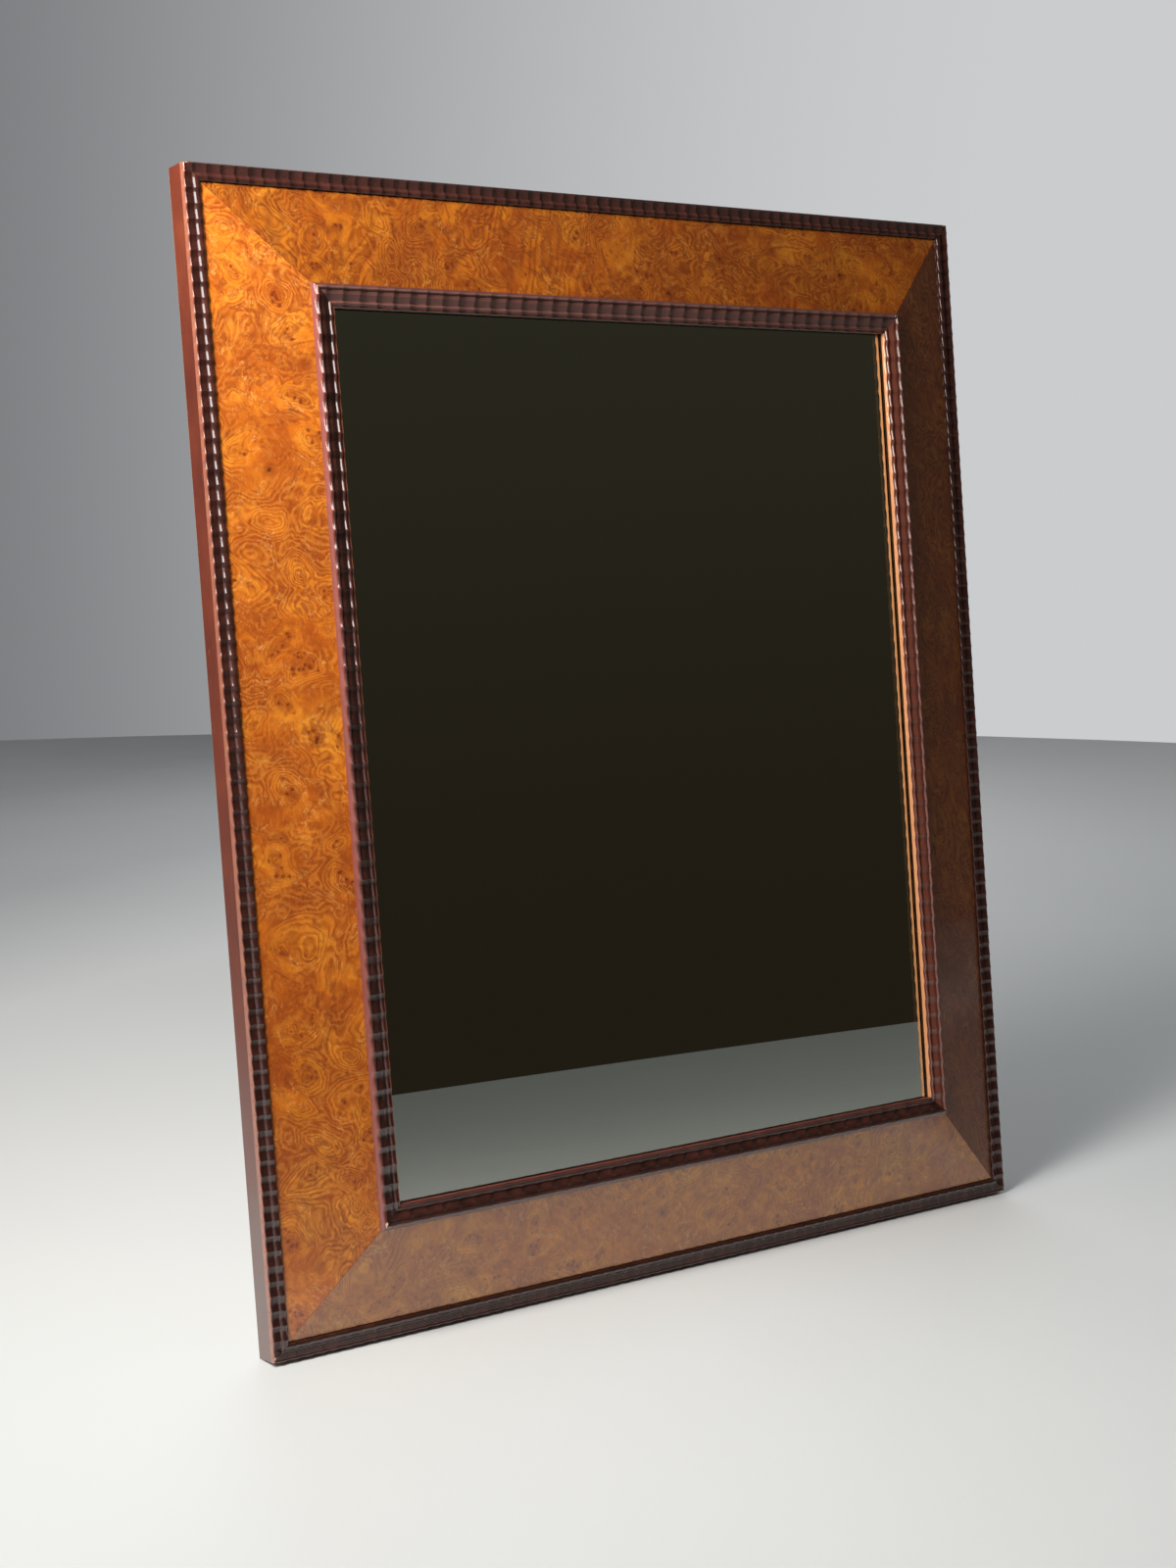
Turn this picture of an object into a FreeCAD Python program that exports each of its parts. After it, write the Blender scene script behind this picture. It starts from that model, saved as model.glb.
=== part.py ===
import FreeCAD, Part
import math
import os

# Ripple frame mirror, upright, with its face towards -Y and +Z up. Millimetres.
# A section of the frame is drawn in three directions: along the side, inset from its
# outer edge towards the glass, and forward of the plane of the outer front arris.

# Overall sizes
frame_width = 945.0
frame_height = 1100.0
side_depth = 31.0               # outer arris to the back plane

# Outer ripple moulding
outer_moulding_width = 17.0
outer_moulding_height = 8.0     # bed to the outer arris

# Veneered slope between the two mouldings
slope_width = 90.4
slope_rise = 26.6
slope_set_back = 2.9            # slope's low edge behind the outer arris
veneer_thickness = 1.0

# Inner ripple moulding
inner_moulding_width = 23.8
inner_moulding_height = 9.5
inner_moulding_sink = 2.2       # bed behind the high edge of the slope
inner_moulding_lip = 11.8       # width that overhangs the glass rebate

# Ripples
outer_pitch = 14.1
inner_pitch = 18.0
outer_ripple_depth = 1.2
inner_ripple_depth = 1.3
long_face_share = 0.62          # length of a ripple's long face in its pitch

# Moulding sections: inset and height, as shares of the moulding's width and height
outer_section_shares = [(0.00, 1.00), (0.52, 0.77), (0.62, 1.08), (0.88, 1.08), (1.00, 0.80)]
inner_section_shares = [(0.00, 0.40), (0.13, 0.92), (0.22, 1.00), (0.62, 0.58), (0.78, 0.70),
                        (1.00, 0.20)]

# Back frame, which comes up to the backboards but for a gap
back_frame_thickness = 14.0
backboard_gap = 3.4

# Glass
glass_thickness = 5.0
silvering_thickness = 0.2
glass_edge_clearance = 3.0

# Glazing blocks
block_width = 11.0
block_height = 16.0
block_length = 60.0
blocks_per_side = 3

# Backboards
backboard_thickness = 6.0
backboard_lap = 18.0            # width of the boards' rest on the face members
backboard_count = 3

# Cut nails through the backboards
nail_head_size = 5.0
nail_head_thickness = 0.8
nail_shank_size = 2.4
nail_point_size = 0.8
nail_length = 22.0
nail_edge_inset = 9.0
nails_per_board_end = 2
nails_per_long_edge = 3

# Wood screws, turned with flat facets
screw_sides = 8
screw_head_radius = 3.8
screw_head_height = 2.4
screw_shank_radius = 1.8
screw_point_radius = 0.3
screw_point_length = 4.0
screw_slot_width = 0.9
screw_slot_depth = 0.9
corner_screw_length = 28.0
corner_screw_near_inset = 32.0
corner_screw_far_inset = 68.0
strap_screw_length = 12.0

# Hanger straps and rings, bent with flat facets
wire_sides = 8
knuckle_sides = 12
end_steps = 4
corner_steps = 3
bow_steps = 12
strap_width = 20.0
strap_length = 58.0
strap_thickness = 1.2
strap_end_radius = 6.0
strap_drop = 290.0              # ring's axis below the top of the frame
strap_screw_spacing = 26.0
strap_screw_end_inset = 14.0
ring_wire_radius = 1.9
ring_bore_clearance = 0.07
ring_axis_height = 4.1          # above the back plane
ring_corner_radius = 5.0
ring_side_gap = 1.0             # straight wire beyond each side of the strap
ring_straight_drop = 8.0

# Rough length for cutting tools that pass right through a piece
overrun = 5.0

# Places that follow from the sizes
glass_front = slope_rise - slope_set_back - inner_moulding_sink
face_back = back_frame_thickness - side_depth
slope_start = outer_moulding_width
slope_end = slope_start + slope_width
veneer_drop = veneer_thickness * math.hypot(slope_width, slope_rise) / slope_width
rebate_inset = slope_end + inner_moulding_width - inner_moulding_lip
glass_inset = rebate_inset + glass_edge_clearance
glass_back = glass_front - glass_thickness
silvering_back = glass_back - silvering_thickness
backboard_inset = rebate_inset - backboard_lap
back_frame_width = backboard_inset - backboard_gap
backboard_back = face_back - backboard_thickness
front_reach = glass_front + inner_moulding_height
bore_radius = ring_wire_radius + ring_bore_clearance
knuckle_reach = bore_radius + strap_thickness
back_reach = side_depth + ring_axis_height + knuckle_reach
middle_forward = (front_reach - back_reach) / 2
strap_inset = back_frame_width / 2
ring_half_width = strap_width / 2 + ring_side_gap + ring_corner_radius

V = FreeCAD.Vector

# Directions of each side: along it, and inset from its outer edge towards the glass
side_directions = {
    "top": (V(-1, 0, 0), V(0, 0, -1)),
    "left": (V(0, 0, -1), V(1, 0, 0)),
    "bottom": (V(1, 0, 0), V(0, 0, 1)),
    "right": (V(0, 0, 1), V(-1, 0, 0)),
}
forward_direction = V(0, -1, 0)


def side_length(side):
    return frame_width if side in ("top", "bottom") else frame_height


def side_start(side):
    """The outer corner that a side starts from, in the plane of the outer arris."""
    x = frame_width / 2 if side in ("top", "right") else -frame_width / 2
    z = frame_height if side in ("top", "left") else 0
    return V(x, middle_forward, z)


def placed(shape, side):
    """Moves a piece drawn along X, inset along Y and forward along Z to its side of the frame."""
    along, inset = side_directions[side]
    start = side_start(side)
    matrix = FreeCAD.Matrix(along.x, inset.x, forward_direction.x, start.x,
                            along.y, inset.y, forward_direction.y, start.y,
                            along.z, inset.z, forward_direction.z, start.z)
    moved = shape.copy()
    moved.Placement = FreeCAD.Placement(matrix).multiply(shape.Placement)
    return moved


def prism(section, length):
    """A straight length of a section given as (inset, forward) points."""
    points = [V(0, inset, forward) for inset, forward in section]
    face = Part.Face(Part.makePolygon(points + points[:1]))
    return face.extrude(V(length, 0, 0))


def box(along, inset, forward):
    """A block from its low and high places along each direction."""
    size = [high - low for low, high in (along, inset, forward)]
    return Part.makeBox(*size, V(along[0], inset[0], forward[0]))


def mitred(shape, length):
    """Cuts both ends of a piece at 45 degrees, from the outer edge inwards."""
    reach = slope_end + inner_moulding_width + overrun
    low = -side_depth - overrun
    high = front_reach + overrun
    corners = [V(0, 0, low), V(length, 0, low), V(length - reach, reach, low), V(reach, reach, low)]
    keep = Part.Face(Part.makePolygon(corners + corners[:1])).extrude(V(0, 0, high - low))
    return shape.common(keep)


def wave(length, pitch, depth, peak_last):
    """Top and bottom of each ripple as (along, rise) points; the tops reach the full section."""
    count = max(1, round(length / pitch))
    step = length / count
    points = [(0, -depth)]
    for ripple in range(count):
        start = ripple * step
        if peak_last:
            points.append((start + step * long_face_share, 0))
        else:
            points.append((start + step * (1 - long_face_share), 0))
        points.append((start + step, -depth))
    return points


def ripple_solid(section, bed, length, ripples):
    """A moulding whose whole section rises and falls along its length over a flat bed."""
    faces = []
    rows = []
    for inset, forward in section:
        rows.append([V(along, inset, forward + rise) for along, rise in ripples])
    for near, far in zip(rows, rows[1:]):
        for k in range(len(ripples) - 1):
            corners = [near[k], near[k + 1], far[k + 1], far[k]]
            faces.append(Part.Face(Part.makePolygon(corners + corners[:1])))
    for row in (rows[0], rows[-1]):
        inset = row[0].y
        corners = [V(0, inset, bed)] + row + [V(length, inset, bed)]
        faces.append(Part.Face(Part.makePolygon(corners + corners[:1])))
    for end in (0, -1):
        along = rows[0][end].x
        corners = [V(along, rows[0][0].y, bed)] + [row[end] for row in rows] + [V(along, rows[-1][0].y, bed)]
        faces.append(Part.Face(Part.makePolygon(corners + corners[:1])))
    low, high = rows[0][0].y, rows[-1][0].y
    corners = [V(0, low, bed), V(length, low, bed), V(length, high, bed), V(0, high, bed)]
    faces.append(Part.Face(Part.makePolygon(corners + corners[:1])))
    shell = Part.Shell(faces)
    shell.sewShape()
    return Part.Solid(shell)


def moulding_section(shares, start, bed, width, height):
    return [(start + across * width, bed + up * height) for across, up in shares]


def outer_ripple(side):
    length = side_length(side)
    bed = -outer_moulding_height
    section = moulding_section(outer_section_shares, 0, bed, outer_moulding_width, outer_moulding_height)
    ripples = wave(length, outer_pitch, outer_ripple_depth, side in ("left", "bottom"))
    return placed(mitred(ripple_solid(section, bed, length, ripples), length), side)


def inner_ripple(side):
    length = side_length(side)
    section = moulding_section(inner_section_shares, slope_end, glass_front,
                               inner_moulding_width, inner_moulding_height)
    ripples = wave(length, inner_pitch, inner_ripple_depth, side in ("left", "bottom"))
    return placed(mitred(ripple_solid(section, glass_front, length, ripples), length), side)


def veneer(side):
    """One leaf of burr veneer, cut square to the mouldings that it meets."""
    low = -slope_set_back
    high = low + slope_rise
    section = [(slope_start, low), (slope_end, high), (slope_end, high - veneer_drop),
               (slope_start, low - veneer_drop)]
    length = side_length(side)
    return placed(mitred(prism(section, length), length), side)


def face_member(side):
    """Wedge-shaped softwood under the veneer, with the beds of both mouldings."""
    low = -slope_set_back - veneer_drop
    section = [(0, face_back), (0, -outer_moulding_height), (slope_start, -outer_moulding_height),
               (slope_start, low), (slope_end, low + slope_rise), (slope_end, glass_front),
               (rebate_inset, glass_front), (rebate_inset, face_back)]
    length = side_length(side)
    return placed(mitred(prism(section, length), length), side)


def back_frame_member(side):
    """One flat member, halved at both ends; the stiles lap over the rails at the back."""
    length = side_length(side)
    middle = -side_depth + back_frame_thickness / 2
    body = box((0, length), (0, back_frame_width), (-side_depth, face_back))
    if side in ("top", "bottom"):
        forward = (-side_depth - overrun, middle)
    else:
        forward = (middle, face_back + overrun)
    inset = (-overrun, back_frame_width + overrun)
    body = body.cut(box((-overrun, back_frame_width), inset, forward))
    body = body.cut(box((length - back_frame_width, length + overrun), inset, forward))
    return placed(body, side)


def plate(inset, front, back):
    """A flat upright plate, set in from the frame's outer edge on all four sides."""
    return Part.makeBox(frame_width - 2 * inset, front - back, frame_height - 2 * inset,
                        V(inset - frame_width / 2, middle_forward - front, inset))


def glazing_blocks():
    """Triangular blocks in the angle between the silvered back and the rebate's wall."""
    section = [(rebate_inset, silvering_back), (rebate_inset + block_width, silvering_back),
               (rebate_inset, silvering_back - block_height)]
    blocks = []
    for side in ("top", "left", "bottom", "right"):
        clear = side_length(side) - 2 * (rebate_inset + block_width)
        for n in range(blocks_per_side):
            middle = rebate_inset + block_width + clear * (n + 0.5) / blocks_per_side
            block = prism(section, block_length)
            block.translate(V(middle - block_length / 2, 0, 0))
            blocks.append(placed(block, side))
    return blocks


def skinned(rings, closed):
    """A solid with flat faces between rings of points; a closed one joins its last ring to its first."""
    pairs = list(zip(rings, rings[1:]))
    if closed:
        pairs.append((rings[-1], rings[0]))
    faces = []
    for near, far in pairs:
        for k in range(len(near)):
            corners = [near[k - 1], near[k], far[k], far[k - 1]]
            faces.append(Part.Face(Part.makePolygon(corners + corners[:1])))
    if not closed:
        for ring in (rings[0], rings[-1]):
            faces.append(Part.Face(Part.makePolygon(ring + ring[:1])))
    shell = Part.Shell(faces)
    shell.sewShape()
    solid = Part.Solid(shell)
    if solid.Volume < 0:
        solid.reverse()
    return solid


def circle_points(centre, across, up, radius, sides):
    """Corners of a regular polygon round a centre, in the plane of two directions."""
    angles = [2 * math.pi * (k + 0.5) / sides for k in range(sides)]
    return [centre + across * (radius * math.cos(a)) + up * (radius * math.sin(a)) for a in angles]


def arc_points(centre, radius, start, end, steps):
    """Points along an arc in the X and Z directions, with both ends; angles in degrees from +X."""
    angles = [math.radians(start + (end - start) * k / steps) for k in range(steps + 1)]
    return [centre + V(radius * math.cos(a), 0, radius * math.sin(a)) for a in angles]


def nail():
    """A cut nail along -Z, with the top of its head at the origin."""
    head = box((-nail_head_size / 2, nail_head_size / 2), (-nail_head_size / 2, nail_head_size / 2),
               (-nail_head_thickness, 0))
    wires = []
    for size, depth in ((nail_shank_size, nail_head_thickness), (nail_point_size, nail_length)):
        corners = [V(x * size / 2, y * size / 2, -depth) for x, y in ((-1, -1), (1, -1), (1, 1), (-1, 1))]
        wires.append(Part.makePolygon(corners + corners[:1]))
    return head.fuse(Part.makeLoft(wires, True, True))


def board_width():
    return (frame_width - 2 * backboard_inset) / backboard_count


def nail_places():
    """Places of the nails in the backboards, as (x, z)."""
    low = backboard_inset + nail_edge_inset
    places = []
    for board in range(backboard_count):
        left = -frame_width / 2 + backboard_inset + board * board_width()
        for n in range(nails_per_board_end):
            x = left + board_width() * (n + 0.5) / nails_per_board_end
            places += [(x, low), (x, frame_height - low)]
    for n in range(nails_per_long_edge):
        z = low + (frame_height - 2 * low) * (n + 1) / (nails_per_long_edge + 1)
        places += [(-frame_width / 2 + low, z), (frame_width / 2 - low, z)]
    return places


def turned_to_back(shape, x, forward, z):
    """Sets a fastener drawn along Z into the back: its +Z end faces +Y at the given place."""
    moved = shape.copy()
    moved.Placement = FreeCAD.Placement(V(x, middle_forward - forward, z),
                                        FreeCAD.Rotation(V(1, 0, 0), -90))
    return moved


def backboard_nails():
    forward = backboard_back - nail_head_thickness
    return [turned_to_back(nail(), x, forward, z) for x, z in nail_places()]


def backboard(number):
    """One upright board, counted from the left as seen from the front."""
    left = backboard_inset - frame_width / 2 + number * board_width()
    return Part.makeBox(board_width(), backboard_thickness, frame_height - 2 * backboard_inset,
                        V(left, middle_forward - face_back, backboard_inset))


def screw(length):
    """A countersunk wood screw along -Z, with the top of its head at the origin."""
    outline = [(screw_head_radius, 0), (screw_shank_radius, -screw_head_height),
               (screw_shank_radius, screw_point_length - length), (screw_point_radius, -length)]
    body = skinned([circle_points(V(0, 0, height), V(1, 0, 0), V(0, 1, 0), radius, screw_sides)
                    for radius, height in outline], False)
    reach = screw_head_radius + overrun
    slot = box((-reach, reach), (-screw_slot_width / 2, screw_slot_width / 2), (-screw_slot_depth, overrun))
    return body, body.cut(slot)


def corner_screw_places():
    """Two to a corner, one into each face member that meets there, as (x, z)."""
    places = []
    for x_inset, z_inset in ((corner_screw_near_inset, corner_screw_far_inset),
                             (corner_screw_far_inset, corner_screw_near_inset)):
        for x_side in (-1, 1):
            x = x_side * (frame_width / 2 - x_inset)
            places += [(x, z_inset), (x, frame_height - z_inset)]
    return places


def strap_screw_places(side):
    x = hanger_x(side)
    z = hanger_z() - strap_length + strap_screw_end_inset
    return [(x, z), (x, z + strap_screw_spacing)]


def hanger_x(side):
    return (-1 if side == "left" else 1) * (frame_width / 2 - strap_inset)


def hanger_z():
    return frame_height - strap_drop


def corner_screws():
    """Screws through the halved corners, heads flush with the back."""
    blank, cut = screw(corner_screw_length)
    places = corner_screw_places()
    return [turned_to_back(blank, x, -side_depth, z) for x, z in places], \
        [turned_to_back(cut, x, -side_depth, z) for x, z in places]


def strap_screws():
    """Screws that hold the straps, heads flush with the straps."""
    blank, cut = screw(strap_screw_length)
    places = strap_screw_places("left") + strap_screw_places("right")
    forward = -side_depth - strap_thickness
    return [turned_to_back(blank, x, forward, z) for x, z in places], \
        [turned_to_back(cut, x, forward, z) for x, z in places]


def strap_plate(width, top, bottom):
    """The strap's flat from its top to its rounded lower end, against a back at y = 0."""
    r = strap_end_radius
    side = width / 2
    outline = ([V(-side, 0, top), V(side, 0, top)]
               + arc_points(V(side - r, 0, bottom + r), r, 0, -90, end_steps)
               + arc_points(V(r - side, 0, bottom + r), r, -90, -180, end_steps))
    return Part.Face(Part.makePolygon(outline + outline[:1])).extrude(V(0, strap_thickness, 0))


def rod(start, reach, length, sides):
    """A faceted rod along +X, with its flats at the given reach from its axis."""
    radius = reach / math.cos(math.pi / sides)
    return skinned([circle_points(start + V(along, 0, 0), V(0, 1, 0), V(0, 0, 1), radius, sides)
                    for along in (0, length)], False)


def hanger_strap(side):
    """A strip of steel: a flat plate with a knuckle rolled up at its top for the ring."""
    low = -2 * knuckle_reach
    start = V(-strap_width / 2, 0, 0)
    axis = start + V(0, ring_axis_height, 0)
    roll = rod(axis, knuckle_reach, strap_width, knuckle_sides)
    slope = [start, start + V(0, ring_axis_height - knuckle_reach, 0), axis - V(0, 0, knuckle_reach),
             start + V(0, strap_thickness, low), start + V(0, 0, low)]
    ramp = Part.Face(Part.makePolygon(slope + slope[:1])).extrude(V(strap_width, 0, 0))
    body = roll.fuse([strap_plate(strap_width, 0, -strap_length), ramp]).removeSplitter()
    bore = rod(axis - V(overrun, 0, 0), bore_radius, strap_width + 2 * overrun, wire_sides)
    strap = body.cut(bore)
    strap.translate(V(hanger_x(side), middle_forward + side_depth, hanger_z()))
    return strap


def ring_path():
    """Corners of the ring's centre line, hanging below its straight bar."""
    bar = strap_width / 2 + ring_side_gap
    r = ring_corner_radius
    return (arc_points(V(bar, 0, -r), r, 90, 0, corner_steps)
            + arc_points(V(0, 0, -r - ring_straight_drop), ring_half_width, 0, -180, bow_steps)
            + arc_points(V(-bar, 0, -r), r, 180, 90, corner_steps))


def hanger_ring(side):
    """A closed ring of wire whose straight bar turns in the strap's knuckle."""
    path = ring_path()
    rings = []
    for k, point in enumerate(path):
        arriving = (point - path[k - 1]).normalize()
        leaving = (path[(k + 1) % len(path)] - point).normalize()
        ahead = (arriving + leaving).normalize()
        across = ahead.cross(V(0, 1, 0)) * (1 / ahead.dot(leaving))
        rings.append(circle_points(point, across, V(0, 1, 0), ring_wire_radius, wire_sides))
    ring = skinned(rings, True)
    ring.translate(V(hanger_x(side), middle_forward + side_depth + ring_axis_height, hanger_z()))
    return ring


def save(name, shape):
    shape.exportStep("parts/" + name + ".step")


def save_group(name, solids):
    save(name, Part.makeCompound(solids))


def main():
    os.makedirs("parts", exist_ok=True)
    corner_blanks, corner_cut = corner_screws()
    strap_blanks, strap_cut = strap_screws()
    nails = backboard_nails()
    for side in ("top", "bottom", "left", "right"):
        save("outer_ripple_" + side, outer_ripple(side))
        save("inner_ripple_" + side, inner_ripple(side))
        save("burr_veneer_" + side, veneer(side))
        save("face_member_" + side, face_member(side).cut(corner_blanks + nails))
        save("back_frame_" + side, back_frame_member(side).cut(corner_blanks + strap_blanks))
    save("mirror_glass", plate(glass_inset, glass_front, glass_back))
    save("silvering", plate(glass_inset, glass_back, silvering_back))
    save_group("glazing_blocks", glazing_blocks())
    for number, name in enumerate(("left", "middle", "right")):
        save("backboard_" + name, backboard(number).cut(nails))
    save_group("backboard_nails", nails)
    save_group("corner_screws", corner_cut)
    save_group("hanger_screws", strap_cut)
    for side in ("left", "right"):
        save("hanger_strap_" + side, hanger_strap(side).cut(strap_blanks))
        save("hanger_ring_" + side, hanger_ring(side))


main()
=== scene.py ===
import math

import bmesh
import bpy
from mathutils import Matrix, Vector


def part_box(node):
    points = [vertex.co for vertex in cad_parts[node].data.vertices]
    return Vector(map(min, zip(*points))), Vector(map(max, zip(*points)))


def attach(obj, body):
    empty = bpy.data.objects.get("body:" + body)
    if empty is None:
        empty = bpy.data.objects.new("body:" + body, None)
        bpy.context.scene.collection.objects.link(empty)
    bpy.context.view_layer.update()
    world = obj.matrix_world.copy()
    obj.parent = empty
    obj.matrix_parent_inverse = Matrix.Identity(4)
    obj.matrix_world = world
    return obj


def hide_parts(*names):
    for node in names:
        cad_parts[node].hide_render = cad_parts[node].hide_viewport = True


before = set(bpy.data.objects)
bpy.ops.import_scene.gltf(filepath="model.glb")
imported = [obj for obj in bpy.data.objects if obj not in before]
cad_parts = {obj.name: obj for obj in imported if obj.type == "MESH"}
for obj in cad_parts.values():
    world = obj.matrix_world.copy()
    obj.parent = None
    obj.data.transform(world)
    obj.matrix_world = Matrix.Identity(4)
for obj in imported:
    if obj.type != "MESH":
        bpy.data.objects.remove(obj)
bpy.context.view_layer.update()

# Lengths are in metres in the row frame. Each side is drawn in three directions: along it,
# inset from its outer edge towards the glass, and forward, towards the viewer. A bed is the
# flat underside of a moulding, given by its y.
MM = 0.001
MERGED = 1e-7                               # points nearer than this are one
MERGED_TURNED = 1e-6                        # the same after turns, which add small errors
HALF_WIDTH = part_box("outer_ripple_top")[1].x
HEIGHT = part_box("outer_ripple_top")[1].z
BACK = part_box("back_frame_left")[1].y
OUTER_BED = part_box("outer_ripple_left")[1].y
INNER_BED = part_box("inner_ripple_left")[1].y
INNER_START = HALF_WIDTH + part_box("inner_ripple_left")[0].x

# The directions along each side and of its inset.
SIDES = {
    "top": (Vector((-1, 0, 0)), Vector((0, 0, -1))),
    "left": (Vector((0, 0, -1)), Vector((1, 0, 0))),
    "bottom": (Vector((1, 0, 0)), Vector((0, 0, 1))),
    "right": (Vector((0, 0, 1)), Vector((-1, 0, 0))),
}


# Finishes

class Value:
    """One value among the nodes. Arithmetic on it adds its Math nodes."""

    def __init__(self, nodes, socket):
        self.nodes = nodes
        self.socket = socket

    def maths(self, operation, *values):
        return self.nodes.node("ShaderNodeMath", {"operation": operation}, dict(enumerate(values)))

    def __add__(self, other):
        return self.maths("ADD", self, other)

    def __radd__(self, other):
        return self.maths("ADD", other, self)

    def __sub__(self, other):
        return self.maths("SUBTRACT", self, other)

    def __rsub__(self, other):
        return self.maths("SUBTRACT", other, self)

    def __mul__(self, other):
        return self.maths("MULTIPLY", self, other)

    def __rmul__(self, other):
        return self.maths("MULTIPLY", other, self)

    def __pow__(self, other):
        return self.maths("POWER", self, other)

    def __abs__(self):
        return self.maths("ABSOLUTE", self)

    def sine(self):
        return self.maths("SINE", self)

    def wave(self):
        """A sine wave between 0 and 1."""
        return self.sine() * 0.5 + 0.5

    def lower(self, other):
        return self.maths("MINIMUM", self, other)

    def higher(self, other):
        return self.maths("MAXIMUM", self, other)

    def step(self, start, end):
        """0 before start and 1 after end, with a smooth change between them."""
        inputs = {"Value": self, "From Min": start, "From Max": end}
        return self.nodes.node("ShaderNodeMapRange", {"interpolation_type": "SMOOTHSTEP"}, inputs)


class Nodes:
    """The nodes of one material or of the world."""

    def __init__(self, tree):
        self.tree = tree
        tree.nodes.clear()

    def node(self, kind, settings=None, inputs=None, output=0):
        made = self.tree.nodes.new(kind)
        for key, value in (settings or {}).items():
            if key == "stops":
                self.set_stops(made.color_ramp, value)
            else:
                setattr(made, key, value)
        for key, value in (inputs or {}).items():
            if isinstance(value, Value):
                self.tree.links.new(value.socket, made.inputs[key])
            else:
                made.inputs[key].default_value = value
        return Value(self, made.outputs[output])

    def set_stops(self, ramp, stops):
        for _ in stops[2:]:
            ramp.elements.new(0.5)
        for element, (position, colour) in zip(ramp.elements, stops):
            element.position = position
            element.color = (*colour, 1)

    def place(self):
        return self.node("ShaderNodeTexCoord", output="Object")

    def attribute(self, name):
        return self.node("ShaderNodeAttribute", {"attribute_name": name}, output="Fac")

    def ray(self, kind):
        """1 for light rays of a kind, such as Camera, and 0 for the others."""
        return self.node("ShaderNodeLightPath", output="Is " + kind + " Ray")

    def axes(self, vector):
        made = self.node("ShaderNodeSeparateXYZ", inputs={0: vector}).socket.node
        return [Value(self, made.outputs[k]) for k in range(3)]

    def vector(self, operation, a, b):
        return self.node("ShaderNodeVectorMath", {"operation": operation}, {0: a, 1: b})

    def noise(self, vector, scale, detail=2.0, rough=0.5, colour=False):
        inputs = {"Vector": vector, "Scale": scale, "Detail": detail, "Roughness": rough}
        return self.node("ShaderNodeTexNoise", None, inputs, "Color" if colour else 0)

    def cells(self, vector, scale, output="Distance"):
        return self.node("ShaderNodeTexVoronoi", None, {"Vector": vector, "Scale": scale}, output)

    def soft_cells(self, vector, scale, smoothness):
        inputs = {"Vector": vector, "Scale": scale, "Smoothness": smoothness}
        return self.node("ShaderNodeTexVoronoi", {"feature": "SMOOTH_F1"}, inputs, "Distance")

    def bent(self, vector, scale, amount, detail=2.0):
        """A vector pushed about by a soft noise of the given scale."""
        push = self.noise(vector, scale, detail, colour=True)
        push = self.vector("SUBTRACT", push, (0.5, 0.5, 0.5))
        push = self.vector("MULTIPLY", push, (amount, amount, amount))
        return self.vector("ADD", vector, push)

    def ramp(self, value, *stops):
        return self.node("ShaderNodeValToRGB", {"stops": stops}, {0: value})

    def mix(self, share, a, b, blend="MIX"):
        settings = {"data_type": "RGBA", "blend_type": blend, "clamp_factor": True}
        inputs = {0: share}
        for key, colour in ((6, a), (7, b)):
            inputs[key] = colour if isinstance(colour, Value) else (*colour, 1)
        return self.node("ShaderNodeMix", settings, inputs, 2)


class Finish(Nodes):
    """A material round one Principled shader. Its body is the colour, laid on coat by coat."""

    def __init__(self, name, **constants):
        self.material = bpy.data.materials.new(name)
        self.material.use_nodes = True
        super().__init__(self.material.node_tree)
        self.shader = self.tree.nodes.new("ShaderNodeBsdfPrincipled")
        output = self.tree.nodes.new("ShaderNodeOutputMaterial")
        self.tree.links.new(self.shader.outputs[0], output.inputs["Surface"])
        for key, value in constants.items():
            self.shader.inputs[key.replace("_", " ")].default_value = value
        self.body = None

    def lay(self, share, colour, blend="MIX"):
        """Lays a colour over the body. The share is how much of it covers."""
        self.body = self.mix(share, self.body, colour, blend)

    def feed(self, socket, value):
        self.tree.links.new(value.socket, self.shader.inputs[socket])

    def bump(self, height, distance, strength):
        inputs = {"Height": height, "Distance": distance, "Strength": strength}
        self.feed("Normal", self.node("ShaderNodeBump", None, inputs))


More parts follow.
